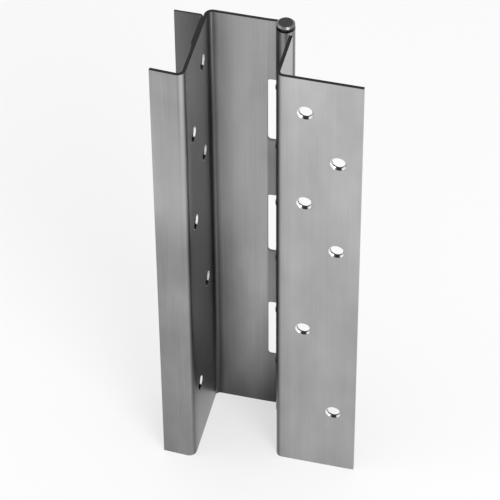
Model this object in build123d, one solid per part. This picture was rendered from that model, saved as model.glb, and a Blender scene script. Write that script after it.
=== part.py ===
from build123d import *
import math
import os

os.makedirs("parts", exist_ok=True)

# Driving sizes, millimetres. X runs along the frame face, Y away from the
# viewer and Z up the pin, whose axis is X = Y = 0. The leaf ends stand on Z = 0.
length = 304.8
sheet = 1.9
guard_sheet = 1.1
pin_d = 6.35
pin_play = 0.05
door_thickness = 44.45
channel_play = 2.15
web_reach = 42.5
swage = 0.45
slot_reach = 10.8
slot_corner = 2.0
front_flange = 19.0
front_flange_lean = 3.0
guard_setback = 4.8
guard_flange = 18.0
guard_leg = 23.0
frame_web = 37.5
frame_flange = 47.0
door_bend = 2.6
frame_bend = 2.0
guard_bend = 1.0
knuckles = 7
bearing_gap = 1.9
bearing_lip = 0.35
notch_play = 0.7
notch_corner = 1.2
side_play = 0.05
curl_sweep = 300.0
hole_d = 7.1
sink_d = 9.1
sink_angle = 82.0
top_hole_drop = 23.5
bottom_hole_rise = 47.8
frame_columns = (19.3, 37.5)
door_columns = (12.1, 33.2)
guard_hole_d = 8.4
head_d = 10.0
head_height = 2.8
head_chamfer = 1.0
neck_d = 8.6
neck_height = 0.5
pin_recess = 0.4
pin_end_chamfer = 0.6

# Sizes that follow from them.
bore_r = pin_d / 2 + pin_play
barrel_r = bore_r + sheet
mid_r = bore_r + sheet / 2
web_back = barrel_r - swage
guard_back = web_back - guard_setback
channel = door_thickness + channel_play
front_face = guard_back - guard_sheet - channel - sheet
knuckle = (length - (knuckles - 1) * bearing_gap) / knuckles
hole_step = (length - top_hole_drop - bottom_hole_rise) / 7
bearing_r = barrel_r + bearing_lip


def polar(radius, degrees):
    a = math.radians(degrees)
    return (radius * math.cos(a), radius * math.sin(a))


def strip(points, bends, curl=None, gauge=sheet):
    # points is the middle line of bent sheet and bends the inside radius at each inner
    # point; curl is the (start angle, sweep) of a roll about the pin axis.
    half = gauge / 2
    left = []
    right = []
    start = Vector(*points[0])
    for i in range(1, len(points)):
        here = Vector(*points[i])
        along = (here - start).normalized()
        normal = Vector(-along.Y, along.X)
        if i < len(points) - 1:
            following = Vector(*points[i + 1])
            onward = (following - here).normalized()
            turn = math.atan2(along.X * onward.Y - along.Y * onward.X, along.dot(onward))
            radius = bends[i - 1] + half
            back = radius * math.tan(abs(turn) / 2)
            first = here - along * back
            second = here + onward * back
            way = 1 if turn > 0 else -1
            centre = first + normal * (way * radius)
            middle = ((first - centre) + (second - centre)).normalized()
            onward_normal = Vector(-onward.Y, onward.X)
            for side, sign in ((left, 1), (right, -1)):
                a = first + normal * (sign * half)
                b = second + onward_normal * (sign * half)
                m = centre + middle * (radius - way * sign * half)
                side.append(Line(start + normal * (sign * half), a))
                side.append(ThreePointArc(a, m, b))
            start = second
        else:
            for side, sign in ((left, 1), (right, -1)):
                side.append(Line(start + normal * (sign * half), here + normal * (sign * half)))
    if curl:
        begin, sweep = curl
        way = 1 if sweep > 0 else -1
        for side, sign in ((left, 1), (right, -1)):
            r = mid_r - way * sign * half
            stops = [polar(r, begin + sweep * k / 2) for k in range(3)]
            side.append(ThreePointArc(*stops))
    cap_end = Line(left[-1] @ 1, right[-1] @ 1)
    cap_start = Line(left[0] @ 0, right[0] @ 0)
    return make_face(Curve() + left + right + [cap_end, cap_start])


def block(x0, x1, y0, y1, z0, z1):
    return Pos((x0 + x1) / 2, (y0 + y1) / 2, (z0 + z1) / 2) * Box(x1 - x0, y1 - y0, z1 - z0)


def turned(points):
    # a solid of revolution about Z from (radius, height) points
    outline = Polyline(*[(r, 0, z) for r, z in points], close=True)
    return revolve(make_face(outline), Axis.Z)


def sunk_hole(origin, inward):
    # cut from the face at origin, along inward
    slope = math.tan(math.radians(sink_angle / 2))
    lead = 0.4
    deep = (sink_d - hole_d) / 2 / slope
    past = sheet + 1
    wide = sink_d / 2 + lead * slope
    profile = [(0, -lead), (wide, -lead), (hole_d / 2, deep), (hole_d / 2, past), (0, past)]
    return Plane(origin=origin, z_dir=inward) * turned(profile)


# Knuckles from the top down: even ones belong to the door leaf.
spans = []
top = length
for k in range(knuckles):
    spans.append((top - knuckle, top))
    top -= knuckle + bearing_gap
hole_rows = [(i % 2, length - top_hole_drop - hole_step * k) for i, k in enumerate((0, 1, 2, 3, 5, 7))]

# Door leaf: front flange, web along the door edge, web to the barrel, rolled knuckles.
mid_web_x = -web_reach - sheet / 2
mid_web_y = web_back - sheet / 2
front_mid = front_face + sheet / 2
lean = math.tan(math.radians(front_flange_lean))
flange_end = -web_reach - front_flange
reach = math.hypot(slot_reach, mid_web_y)
tangent = math.degrees(math.atan2(mid_web_y, -slot_reach) - math.acos(mid_r / reach))
door_line = [
    (flange_end, front_mid + (mid_web_x - flange_end) * lean),
    (mid_web_x, front_mid),
    (mid_web_x, mid_web_y),
    (-slot_reach, mid_web_y),
    polar(mid_r, tangent),
]
door_face = strip(door_line, [door_bend, door_bend, 1.0], (tangent, -(curl_sweep + tangent - 90)))
door_leaf = extrude(door_face, length)
for k in range(1, knuckles, 2):
    low, high = spans[k]
    past = barrel_r + 4
    slot = block(-slot_reach, past, -past, past, low - bearing_gap, high + bearing_gap)
    corners = slot.edges().filter_by(Axis.Y).group_by(Axis.X)[0]
    door_leaf -= fillet(corners, slot_corner)
for column, z in hole_rows:
    y = -door_columns[column]
    door_leaf -= sunk_hole((-web_reach, y, z), (-1, 0, 0))

# Rear guard angle: its leg lies on the back of the door-edge web.
leg_x = -web_reach - sheet - guard_sheet / 2
guard_mid = guard_back - guard_sheet / 2
guard_line = [(-web_reach - guard_flange, guard_mid), (leg_x, guard_mid), (leg_x, -guard_leg)]
rear_guard = extrude(strip(guard_line, [guard_bend], gauge=guard_sheet), length)
for column, z in hole_rows:
    if column == 0:
        across = Plane(origin=(leg_x, -door_columns[0], z), z_dir=(1, 0, 0))
        rear_guard -= across * Cylinder(guard_hole_d / 2, guard_sheet * 3)

# Frame leaf: flange on the frame face, web back to the barrel, rolled knuckles.
frame_mid_y = -frame_web + sheet / 2
frame_end = barrel_r - sheet + frame_flange
frame_line = [(frame_end, frame_mid_y), (mid_r, frame_mid_y), (mid_r, 0)]
frame_leaf = extrude(strip(frame_line, [frame_bend], (0, curl_sweep)), length)
for k in range(0, knuckles, 2):
    low, high = spans[k]
    low = low - bearing_gap - side_play if k < knuckles - 1 else -8
    high = high + bearing_gap + side_play if k > 0 else length + 8
    notch = block(-barrel_r - 4, barrel_r + 4, -barrel_r - notch_play, barrel_r + 4, low, high)
    corners = notch.edges().filter_by(Axis.X).group_by(Axis.Y)[0]
    frame_leaf -= fillet(corners, notch_corner)
for column, z in hole_rows:
    x = frame_columns[column]
    frame_leaf -= sunk_hole((x, -frame_web, z), (0, 1, 0))

# Hinge pin with its chamfered head.
pin_r = pin_d / 2
head_low = length + neck_height
head_top = head_low + head_height
hinge_pin = turned([
    (0, pin_recess),
    (pin_r - pin_end_chamfer, pin_recess),
    (pin_r, pin_recess + pin_end_chamfer),
    (pin_r, length),
    (neck_d / 2, length),
    (neck_d / 2, head_low),
    (head_d / 2 - 0.2, head_low),
    (head_d / 2, head_low + 0.2),
    (head_d / 2, head_top - head_chamfer),
    (head_d / 2 - head_chamfer, head_top),
    (0, head_top),
])

# Plain flanged bearings, one in each gap between knuckles.
bearings = []
for k in range(knuckles - 1):
    low = spans[k + 1][1]
    high = spans[k][0]
    edge = 0.3
    bearings.append(turned([
        (bore_r, low),
        (bearing_r - edge, low),
        (bearing_r, low + edge),
        (bearing_r, high - edge),
        (bearing_r - edge, high),
        (bore_r, high),
    ]))

# The origin of the exported parts is the middle of the footprint, at the leaf ends.
boxes = [solid.bounding_box() for solid in [door_leaf, rear_guard, frame_leaf] + bearings]
middle_x = (min(b.min.X for b in boxes) + max(b.max.X for b in boxes)) / 2
middle_y = (min(b.min.Y for b in boxes) + max(b.max.Y for b in boxes)) / 2
moved = Pos(-middle_x, -middle_y, 0)
print("pin axis at", round(-middle_x, 4), round(-middle_y, 4))

export_step(moved * door_leaf, "parts/door_leaf.step")
export_step(moved * rear_guard, "parts/rear_guard_angle.step")
export_step(moved * frame_leaf, "parts/frame_leaf.step")
export_step(moved * hinge_pin, "parts/hinge_pin.step")
for k, bearing in enumerate(bearings):
    export_step(moved * bearing, "parts/knuckle_bearing_%d.step" % (k + 1))
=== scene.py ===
import math

import bpy
from mathutils import Matrix, Vector


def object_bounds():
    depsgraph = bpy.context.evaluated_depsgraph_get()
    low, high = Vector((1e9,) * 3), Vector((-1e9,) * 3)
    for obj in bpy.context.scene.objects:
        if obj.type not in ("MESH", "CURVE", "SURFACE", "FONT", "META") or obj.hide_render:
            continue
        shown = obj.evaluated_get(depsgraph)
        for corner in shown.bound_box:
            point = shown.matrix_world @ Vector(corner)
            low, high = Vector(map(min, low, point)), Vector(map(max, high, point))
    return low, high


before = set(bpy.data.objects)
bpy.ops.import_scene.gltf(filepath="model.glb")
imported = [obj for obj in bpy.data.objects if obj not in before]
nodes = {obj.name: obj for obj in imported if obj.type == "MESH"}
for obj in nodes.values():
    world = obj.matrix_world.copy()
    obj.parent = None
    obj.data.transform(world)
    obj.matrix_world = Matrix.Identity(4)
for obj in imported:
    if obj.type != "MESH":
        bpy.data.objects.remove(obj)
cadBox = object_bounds()
print("stage: frame loaded with", len(nodes), "solids")

mm = 0.001


class Wire:  # a node's output; sums on it add Math nodes
    def __init__(self, tree, socket=None):
        self.tree = tree
        self.socket = socket

    def node(self, kind, settings=None, inputs=None, out=0):  # type, settings, then values or links
        made = self.tree.nodes.new("ShaderNode" + kind)
        for key, value in (settings or {}).items():
            setattr(made, key, value)
        for key, value in (inputs or {}).items():
            if isinstance(value, Wire):
                self.tree.links.new(value.socket, made.inputs[key])
            else:
                made.inputs[key].default_value = value
        return Wire(self.tree, made.outputs[out]) if len(made.outputs) else Wire(self.tree)

    def other(self, name):  # another output of the same node
        return Wire(self.tree, self.socket.node.outputs[name])

    def maths(self, operation, *terms):
        return self.node("Math", {"operation": operation}, dict(enumerate(terms)))

    def __add__(self, b):
        return self.maths("ADD", self, b)

    def __radd__(self, b):
        return self.maths("ADD", b, self)

    def __sub__(self, b):
        return self.maths("SUBTRACT", self, b)

    def __rsub__(self, b):
        return self.maths("SUBTRACT", b, self)

    def __mul__(self, b):
        return self.maths("MULTIPLY", self, b)

    def __rmul__(self, b):
        return self.maths("MULTIPLY", b, self)

    def __abs__(self):
        return self.maths("ABSOLUTE", self)

    def root(self):
        return self.maths("SQRT", self)

    def least(self, b):
        return self.maths("MINIMUM", self, b)

    def most(self, b):
        return self.maths("MAXIMUM", self, b)

    def rise(self, start, full):  # 0 at start and 1 at full, with start above or below it
        low, high = min(start, full), max(start, full)
        ends = (0.0, 1.0) if start < full else (1.0, 0.0)
        return self.node("MapRange", {"interpolation_type": "SMOOTHSTEP"},
                         {"Value": self, "From Min": low, "From Max": high,
                          "To Min": ends[0], "To Max": ends[1]})


def newMaterial(name):
    made = bpy.data.materials.new(name)
    made.use_nodes = True
    made.node_tree.nodes.clear()
    return made, Wire(made.node_tree)


def surface(start):  # x, y, z in mm from the part's own origin, and nx, ny, nz for the way it faces
    coords = start.node("TexCoord", out="Object")
    at = start.node("SeparateXYZ", {}, {"Vector": coords}, out="X")
    facing = start.node("SeparateXYZ", {}, {"Vector": coords.other("Normal")}, out="X")
    spots = {}
    for axis in "XYZ":
        spots[axis.lower()] = at.other(axis) * (1 / mm)
        spots["n" + axis.lower()] = facing.other(axis)
    return coords, spots


def distance(a, b):
    return (a * a + b * b).root()


def grain(start, coords, scale, detail=2.0, roughness=0.55):  # drawn out along the axis of the smallest scale
    spread = start.node("Mapping", {}, {"Vector": coords, "Scale": scale})
    return start.node("TexNoise", {"noise_dimensions": "3D"},
                      {"Vector": spread, "Scale": 1.0, "Detail": detail, "Roughness": roughness})


def blend(start, factor, low, high, kind="MIX"):  # low where the factor is 0, high where it is 1
    low, high = ((*tone, 1) if isinstance(tone, tuple) else tone for tone in (low, high))
    return start.node("Mix", {"data_type": "RGBA", "blend_type": kind},
                      {"Factor": factor, "A": low, "B": high}, out="Result")


def dress(names, material):
    for name in names:
        for spot in nodes[name].material_slots:
            spot.material = material


# the tables below give painted shade and painted highlights on the sheets
# A sheet's tables hold rows: where the row lies, by spans, and its share there. A span of two
# values rises from the first to the second, and one of four falls again from the third to the fourth.
def mask(spots, spans):
    part = 1.0
    for key, span in spans.items():
        part = spots[key].rise(span[0], span[1]) * part
        if len(span) == 4:
            part = spots[key].rise(span[3], span[2]) * part
    return part


def along(z, share):  # a plain share, one that runs evenly from foot to top, or (height, share) steps
    if isinstance(share, dict):
        return z * ((share["top"] - share["foot"]) / length) + share["foot"]
    if not isinstance(share, tuple):
        return share
    value = share[0][1]
    for (low, before), (high, after) in zip(share, share[1:]):
        if after != before:
            value = z.rise(low, high) * (after - before) + value
    return value


def paintedShadeLevel(spots, rows):  # painted shade: each row takes its share off the tone
    level = 1.0
    for spans, share in rows:
        level = (1 - mask(spots, spans) * along(spots["z"], share)) * level
    return level


# the folded sheets: satin stainless, brushed along the height; lengths in mm
headAboveLeaves = 3.3
length = cadBox[1][2] / mm - headAboveLeaves

# heights of the screw holes, in steps down from the top one
screws = {"topDrop": 23.5, "footRise": 47.8, "gaps": 7, "steps": (0, 1, 2, 3, 5, 7)}
pitch = (length - screws["topDrop"] - screws["footRise"]) / screws["gaps"]
holeHeights = [length - screws["topDrop"] - pitch * step for step in screws["steps"]]


def zigzag(columns):  # the holes stand in two columns by turns, the pin's side first
    return [(columns[i % 2], height) for i, height in enumerate(holeHeights)]


satin = {
    "grains": {  # scale on each axis, detail
        "fine": ((3600, 3600, 26), 2.0),
        "middle": ((1000, 1000, 7), 2.0),
        "broad": ((95, 95, 5), 3.0),
        "cloud": ((46, 46, 19), 2.0),
    },
    "weights": {"fine": 0.42, "middle": 0.28, "broad": 0.12, "cloud": 0.18},
    "contrast": 2.2,
    "cloudLevel": 0.95,
    "shadow": (0.020, 0.020, 0.021),
    # tone of the painted highlights
    "paintedHighlightTone": (0.722, 0.722, 0.724),
    "roughness": 0.36,
    "fineRoughness": 0.16,
    "cloudRoughness": 0.08,
    "bump": 0.000012,
    "fineBump": 0.6,
    "middleBump": 0.9,
    # sheared ends and slot ends; the top ends painted dark as shade
    "cutFacing": (0.55, 0.85),
    "paintedTopCutShade": (0.030, 0.030, 0.032),
    "slotCut": (0.150, 0.150, 0.153),
    "topCutDrop": (8, 4),  # mm below the top, where one tone gives way to the other
    "cutRoughness": 0.5,
    "shearScale": (900, 900, 2400),
    "shearTones": ((0.7, 0.7, 0.7), (1.4, 1.4, 1.4)),
    # countersinks, by the distance from the hole's axis: a painted pale reflection, and painted shade where
    # they face up
    "sinkEdge": (4.54, 4.44),
    "boreEdge": (3.80, 3.60),
    "sinkUp": (0.60, 0.70),
    "boreDark": 0.85,
    "paintedSinkReflection": (0.86, 0.86, 0.87),
    "sinkRoughness": 0.24,
    "sinkDull": 0.55,
}

frameLeaf = {
    "pale": (0.567, 0.567, 0.569),
    "deep": (0.471, 0.471, 0.473),
    "clouding": 0.42,
    "across": "x",
    "holes": zigzag((24.96, 43.16)),
    # painted shade: each row darkens the steel where it lies
    "paintedShade": (
        ({}, {"foot": 0.31, "top": 0.02}),  # all of it, most at the foot
        ({"nx": (-0.04, -0.60), "ny": (-0.05, -0.30)}, 0.66),  # outside of the fold
        ({"x": (20, 11), "ny": (-0.6, -0.9)}, 0.13),  # flange, beside the fold
        ({"nx": (0.5, 0.9)}, 0.16),  # web, on the frame's side
    ),
    "paintedHighlight": (),
}

web = {"y": (15, 23), "ny": (-0.3, -0.7)}  # the door leaf's web beside the barrel
doorLeaf = {
    "pale": (0.454, 0.454, 0.456),
    "deep": (0.325, 0.325, 0.327),
    "clouding": 0.62,
    "across": "y",
    "holes": zigzag((9.93, -11.17)),
    "corners": {"fromPin": (5.66, 22.03), "fromFold": (-36.84, 24.8)},
    # painted shade: each row darkens the steel where it lies
    "paintedShade": (
        ({"y": (-15, -22)}, {"foot": 0.34, "top": 0.08}),  # front flange
        ({"fromPin": (8.0, 5.4), "ny": (0.1, -0.4)}, 0.38),  # near side of the knuckles
        ({"nx": (0.55, 0.90)}, ((0, 0.38), (90, 0.66), (200, 0.66), (312, 0.26))),  # bottom of the channel
        ({**web, "z": (52, -6)}, 0.68),  # foot of that web, in four steps
        ({**web, "z": (100, 35)}, 0.27),
        ({**web, "x": (-12, -32), "z": (200, 60)}, 0.22),
        ({**web, "x": (-16, 1), "z": (120, 0)}, 0.60),
        ({**web, "x": (-5.7, -4.6)},
         ((0, 0.0), (150, 0.46), (180, 0.46), (300, 0.08))),  # strip beside the slots
        ({"x": (-5.64, -5.29, -4.99, -4.64), "nx": (0.80, 0.95), "y": (15, 23)}, 0.75),  # ends of the slots
        ({"nx": (0.07, 0.16, 0.22, 0.38), "ny": (-0.5, -0.8)},
         ((100, 0.0), (280, 0.22))),  # start of each fold
        ({"fromFold": (5.6, 1.8), "nx": (0.90, 0.55)}, 0.70),  # inner fold, on the barrel's side
        ({"fromFold": (5.6, 1.8), "nx": (0.55, 0.90)}, 0.32),  # inner fold, on the channel's side
    ),
    # painted highlights: each row lightens the steel where it lies
    "paintedHighlight": (
        ({"nx": (0.30, 0.52, 0.66, 0.92), "ny": (-0.20, -0.40)}, ((225, 0.02), (310, 0.32))),  # front fold
        ({"y": (-15, -22), "z": (165, 220, 238, 290)}, 0.26),  # patch on the front flange
        ({"x": (-35.5, -32, -26, -8), "y": (15, 23), "ny": (-0.8, -0.95)},
         ((80, 0.0), (200, 0.36), (240, 0.36), (300, 0.18))),  # web beside the inner fold
    ),
}

rearGuard = {
    # the same steel as the leaves, its tones painted darker as shade
    "pale": (0.272, 0.272, 0.274),
    "deep": (0.202, 0.202, 0.204),
    "clouding": 0.42,
    "holes": (),
    # painted shade on all but the faces turned towards +x
    "paintedShade": (({"nx": (0.50, 0.10)}, 0.30),),
    "paintedHighlight": (),
}


def fromHoles(start, spots, values):  # distance to the nearest hole's axis
    flat = start.node("CombineXYZ", {}, {"X": spots[values["across"]], "Y": 0.0, "Z": spots["z"]})
    gap = None
    for column, height in values["holes"]:
        one = start.node("VectorMath", {"operation": "DISTANCE"},
                         {0: flat, 1: (column, 0.0, height)}, out="Value")
        gap = one if gap is None else gap.least(one)
    return gap


def satinSteel(name, values):
    material, start = newMaterial(name)
    coords, spots = surface(start)
    for key, (x, y) in values.get("corners", {}).items():
        spots[key] = distance(spots["x"] - x, spots["y"] - y)
    noises = {key: grain(start, coords, *scale) for key, scale in satin["grains"].items()}
    fine, middle, cloud = noises["fine"], noises["middle"], noises["cloud"]
    streaks = -0.5
    for key, weight in satin["weights"].items():
        streaks = noises[key] * weight + streaks
    bare = blend(start, streaks * satin["contrast"] + 0.5, values["deep"], values["pale"])
    # painted shade from the table, times a random cloud in the tone
    level = paintedShadeLevel(spots, values["paintedShade"]) * ((cloud - 0.5) * values["clouding"] + satin["cloudLevel"])
    colour = blend(start, level, satin["shadow"], bare)
    # painted highlights from the table
    if values["paintedHighlight"]:
        paintedHighlight = 0.0
        for spans, share in values["paintedHighlight"]:
            paintedHighlight = mask(spots, spans) * along(spots["z"], share) + paintedHighlight
        colour = blend(start, paintedHighlight, colour, satin["paintedHighlightTone"])
    rough = (fine - 0.5) * satin["fineRoughness"] + (cloud - 0.5) * satin["cloudRoughness"]
    rough = rough + satin["roughness"]
    cut = abs(spots["nz"]).rise(*satin["cutFacing"])
    metal = 1.0
    if values["holes"]:  # countersinks get a painted pale reflection, and painted shade where they face up
        gap = fromHoles(start, spots, values)
        sink = gap.rise(*satin["sinkEdge"])
        bore = gap.rise(*satin["boreEdge"])
        facesUp = spots["nz"].rise(*satin["sinkUp"])
        cut = cut * (1 - sink)
        metal = 1 - sink * (1 - facesUp) * satin["sinkDull"]
        paintedSinkColour = blend(start, facesUp.most(bore * satin["boreDark"]), satin["paintedSinkReflection"], satin["paintedTopCutShade"])
        colour = blend(start, sink, colour, paintedSinkColour)
        rough = rough * (1 - sink) + sink * satin["sinkRoughness"]
    shear = grain(start, coords, satin["shearScale"])
    # painted shade: the top ends darker than the slot ends
    atTop = spots["z"].rise(*(length - drop for drop in satin["topCutDrop"]))
    cutTone = blend(start, atTop, satin["slotCut"], satin["paintedTopCutShade"])
    edge = blend(start, 1.0, cutTone, blend(start, shear, *satin["shearTones"]), "MULTIPLY")
    colour = blend(start, cut, colour, edge)
    rough = rough * (1 - cut) + cut * satin["cutRoughness"]
    brushed = fine * satin["fineBump"] + middle * satin["middleBump"]
    bump = start.node("Bump", {}, {"Strength": 1.0, "Distance": satin["bump"],
                                   "Height": brushed * (1 - cut) + shear * cut})
    shader = start.node("BsdfPrincipled", {}, {"Base Color": colour, "Metallic": metal,
                                               "Roughness": rough, "Normal": bump})
    start.node("OutputMaterial", {}, {"Surface": shader})
    return material


print("stage: leaves")
dress(("frame_leaf",), satinSteel("frame_leaf_steel", frameLeaf))
dress(("door_leaf",), satinSteel("door_leaf_steel", doorLeaf))
dress(("rear_guard_angle",), satinSteel("rear_guard_steel", rearGuard))

# the hinge pin: turned, its head dark, with a painted highlight on its chamfer and its side painted darker
# than its face
pin = {
    "axis": (5.6624, 22.0295),
    "face": (0.056, 0.056, 0.058),
    "side": (0.025, 0.025, 0.027),
    "paintedChamferHighlight": (0.17, 0.17, 0.172),
    "chamferFacing": (0.25, 0.55, 0.82, 0.95),
    "faceFacing": (0.82, 0.95),
    "ringScale": 3.2,
    "speckScale": (2600, 2600, 2600),
    "detail": 3.0,
    "mottle": ((0.55, 0.55, 0.55), (1.45, 1.45, 1.45)),
    "speckWeight": 0.6,
    "ringWeight": 0.4,
    "roughness": 0.30,
    "ringRoughness": 0.2,
    "bump": 0.000008,
}


def turnedSteel(name, values):
    material, start = newMaterial(name)
    coords, spots = surface(start)
    reach = distance(spots["x"] - values["axis"][0], spots["y"] - values["axis"][1])
    rings = start.node("CombineXYZ", {}, {"X": reach * values["ringScale"], "Y": 0.0,
                                          "Z": spots["z"] * values["ringScale"]})
    turned = start.node("TexNoise", {"noise_dimensions": "3D"},
                        {"Vector": rings, "Scale": 1.0, "Detail": values["detail"]})
    speck = grain(start, coords, values["speckScale"], values["detail"])
    # painted shade: the head's side darker than its face
    dark = blend(start, spots["nz"].rise(*values["faceFacing"]), values["side"], values["face"])
    mottle = blend(start, speck * values["speckWeight"] + turned * values["ringWeight"], *values["mottle"])
    body = blend(start, 1.0, dark, mottle, "MULTIPLY")
    # painted highlight on the chamfer
    colour = blend(start, mask(spots, {"nz": values["chamferFacing"]}), body, values["paintedChamferHighlight"])
    bump = start.node("Bump", {}, {"Strength": 1.0, "Distance": values["bump"], "Height": turned})
    rough = (turned - 0.5) * values["ringRoughness"] + values["roughness"]
    shader = start.node("BsdfPrincipled", {}, {"Base Color": colour, "Metallic": 1.0,
                                               "Roughness": rough, "Normal": bump})
    start.node("OutputMaterial", {}, {"Surface": shader})
    return material


print("stage: pin")
dress(("hinge_pin",), turnedSteel("pin_turned_stainless", pin))

# the bearings between the knuckles: dark moulded plastic
bearing = {
    "pale": (0.040, 0.040, 0.042),
    "deep": (0.018, 0.018, 0.019),
    "patchScale": (300, 300, 300),
    "speckScale": (2600, 2600, 2600),
    "speckDetail": 3.0,
    "roughness": 0.50,
    "speckRoughness": 0.2,
    "bump": 0.00001,
    "bumpStrength": 0.6,
}


def mouldedPlastic(name, values):
    material, start = newMaterial(name)
    coords = start.node("TexCoord", out="Object")
    speck = grain(start, coords, values["speckScale"], values["speckDetail"])
    colour = blend(start, grain(start, coords, values["patchScale"]), values["deep"], values["pale"])
    bump = start.node("Bump", {}, {"Strength": values["bumpStrength"], "Distance": values["bump"],
                                   "Height": speck})
    rough = (speck - 0.5) * values["speckRoughness"] + values["roughness"]
    shader = start.node("BsdfPrincipled", {}, {"Base Color": colour, "Metallic": 0.0,
                                               "Roughness": rough, "Normal": bump})
    start.node("OutputMaterial", {}, {"Surface": shader})
    return material


print("stage: bearings")
dress([k for k in nodes if k.startswith("knuckle_bearing")], mouldedPlastic("bearing_plastic_dark", bearing))

# floor, light and camera
studio = {
    "floorHalf": 6.0,
    "floorTone": (0.88, 0.88, 0.88),
    "floorGlow": 0.60,  # share of the floor that shows as plain white
    "skyLevel": 0.80,
    "lampTarget": (0, 0, 0.12),
    "lamps": (  # name, place, size, watts
        ("keyRight", (0.75, -0.9, 1.15), 0.8, 11.0),
        ("fillLeft", (-1.5, -0.5, 1.5), 1.2, 4.0),
    ),
}


def seenPlainly(start):  # 1 for what the camera sees, straight, by reflection or through something clear
    rays = start.node("LightPath", out="Is Camera Ray")
    return rays.most(rays.other("Is Glossy Ray")).most(rays.other("Is Transmission Ray"))


def makeFloor(values):
    half = values["floorHalf"]
    mesh = bpy.data.meshes.new("studio_floor")
    rim = [(-half, -half, 0), (half, -half, 0), (half, half, 0), (-half, half, 0)]
    mesh.from_pydata(rim, [], [(0, 1, 2, 3)])
    floor = bpy.data.objects.new("studio_floor", mesh)
    bpy.context.scene.collection.objects.link(floor)
    material, start = newMaterial("studio_floor_white")
    plain = start.node("BsdfDiffuse", {}, {"Color": (*values["floorTone"], 1)})
    glow = start.node("Emission", {}, {"Color": (1, 1, 1, 1), "Strength": 1.0})
    both = start.node("MixShader", {}, {"Fac": seenPlainly(start) * values["floorGlow"], 1: plain, 2: glow})
    start.node("OutputMaterial", {}, {"Surface": both})
    mesh.materials.append(material)


def makeSky(values):
    world = bpy.data.worlds.new("studio_sky")
    bpy.context.scene.world = world
    world.use_nodes = True
    world.node_tree.nodes.clear()
    start = Wire(world.node_tree)
    strength = seenPlainly(start) * (1 - values["skyLevel"]) + values["skyLevel"]
    sky = start.node("Background", {}, {"Color": (1, 1, 1, 1), "Strength": strength})
    start.node("OutputWorld", {}, {"Surface": sky})


def makeLamps(values):
    target = Vector(values["lampTarget"])
    for name, spot, size, watts in values["lamps"]:
        light = bpy.data.lights.new(name, "AREA")
        light.shape = "DISK"
        light.size = size
        light.energy = watts
        lamp = bpy.data.objects.new(name, light)
        lamp.location = spot
        lamp.rotation_euler = (target - Vector(spot)).to_track_quat("-Z", "Y").to_euler()
        bpy.context.scene.collection.objects.link(lamp)


camera = {  # fitted to the photograph's corners and holes, for an image of 500 by 500
    "place": (274.1, -1124.7, 1358.6),
    "yaw": 14.14,
    "pitch": 46.07,
    "roll": -0.5,
    "focalPixels": 3000.0,
    "side": 500,
    "sensor": 36.0,
    "near": 0.02,
    "far": 40.0,
}


def makeCamera(values):
    yaw, pitch, roll = (math.radians(values[k]) for k in ("yaw", "pitch", "roll"))
    ahead = Vector((-math.sin(yaw) * math.cos(pitch), math.cos(yaw) * math.cos(pitch), -math.sin(pitch)))
    right = Vector((math.cos(yaw), math.sin(yaw), 0))
    up = right.cross(ahead)
    across = right * math.cos(roll) + up * math.sin(roll)
    upward = up * math.cos(roll) - right * math.sin(roll)
    turn = Matrix((across, upward, -ahead)).transposed()
    lens = bpy.data.cameras.new("photo_view")
    lens.sensor_width = values["sensor"]
    lens.lens = values["focalPixels"] * values["sensor"] / values["side"]
    lens.clip_start = values["near"]
    lens.clip_end = values["far"]
    view = bpy.data.objects.new("photo_view", lens)
    view.matrix_world = Matrix.Translation(Vector(values["place"]) * mm) @ turn.to_4x4()
    bpy.context.scene.collection.objects.link(view)
    bpy.context.scene.camera = view


print("stage: floor, sky, lamps and camera")
makeFloor(studio)
makeSky(studio)
makeLamps(studio)
makeCamera(camera)
bpy.context.scene.view_settings.view_transform = "Standard"

print("stage: done")
